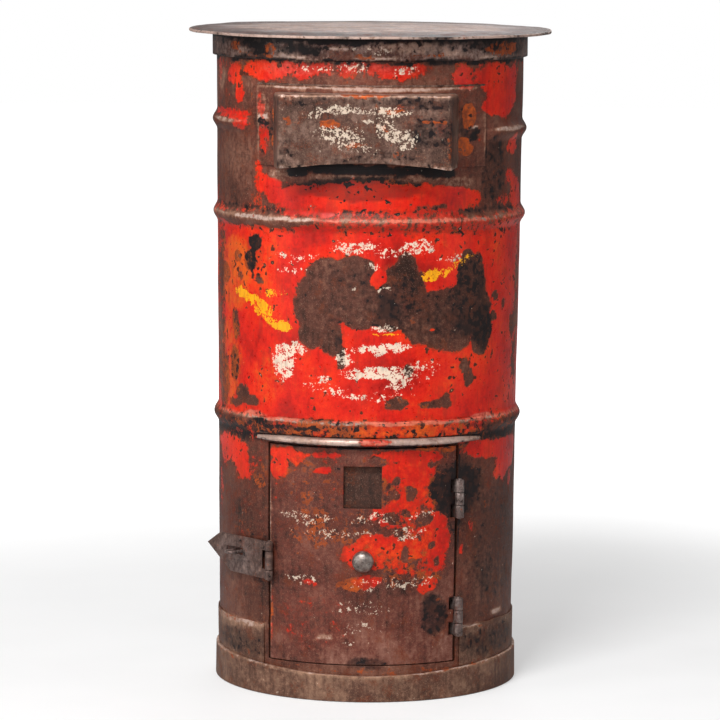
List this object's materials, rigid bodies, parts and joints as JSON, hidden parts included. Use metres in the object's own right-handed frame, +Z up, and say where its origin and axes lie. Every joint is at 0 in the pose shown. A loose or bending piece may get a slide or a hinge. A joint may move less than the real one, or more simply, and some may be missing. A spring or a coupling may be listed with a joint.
{
  "type": "mailbox",
  "caption": "Free-standing cylindrical steel letter box with a hooded letter slot, overhanging flat lid, curved hinged collection door, hasp and sliding hour plate.",
  "frame": {"origin": "centre of the foot on the ground, on the box's own axis", "axes": "+Z up along the box's axis; the door and the letter slot face -Y, the door's hinges are towards +X"},
  "size_m": [0.5, 0.5, 0.8999],
  "materials": {
    "red_paint": "chipped and weathered gloss paint over orange undercoat and rusted steel",
    "dark_iron": "dark worn paint on iron",
    "rusty_steel": "brown surface rust",
    "bare_steel": "worn bare steel with a brown patina"
  },
  "bodies": {
    "cabinet": {"body_shell": "red_paint", "slot_plate": "red_paint", "rim_band": "dark_iron", "base_band": "rusty_steel", "wrap_band": "rusty_steel", "header_strip": "red_paint", "seam_strap": "rusty_steel", "lid_plate": "bare_steel", "floor_plate": "rusty_steel", "letter_hood": "bare_steel", "letter_chute": "bare_steel", "drip_rail": "bare_steel", "jamb_left": "rusty_steel", "jamb_right": "rusty_steel", "door_sill": "rusty_steel", "hasp_staple": "bare_steel", "staple_plate": "rusty_steel", "upper_hinge_frame_leaf": "bare_steel", "upper_hinge_pin": "bare_steel", "lower_hinge_frame_leaf": "bare_steel", "lower_hinge_pin": "bare_steel"},
    "door": {"door_panel": "red_paint", "door_brace_lower": "rusty_steel", "door_brace_upper": "rusty_steel", "door_knob": "bare_steel", "knob_washer": "bare_steel", "knob_nut": "bare_steel", "hour_plate_holder": "rusty_steel", "upper_hinge_door_leaf": "bare_steel", "lower_hinge_door_leaf": "bare_steel", "hasp_door_leaf": "bare_steel", "hasp_pin": "bare_steel"},
    "hour_plate_card": {"hour_plate": "rusty_steel"},
    "hasp": {"hasp_strap": "bare_steel"}
  },
  "joints": [
    {"name": "door_hinge", "type": "hinge", "parent": "cabinet", "child": "door", "pos_m": [0.1248, -0.17051, 0.19], "axis": [0, 0, 1], "range_deg": [0, 110]},
    {"name": "hasp_hinge", "type": "hinge", "parent": "door", "child": "hasp", "pos_m": [-0.13166, -0.16552, 0.185], "axis": [0, 0, 1], "range_deg": [0, 175]},
    {"name": "hour_plate_slide", "type": "slide", "parent": "door", "child": "hour_plate_card", "axis": [0, 0, 1], "range_m": [0, 0.06]}
  ]
}
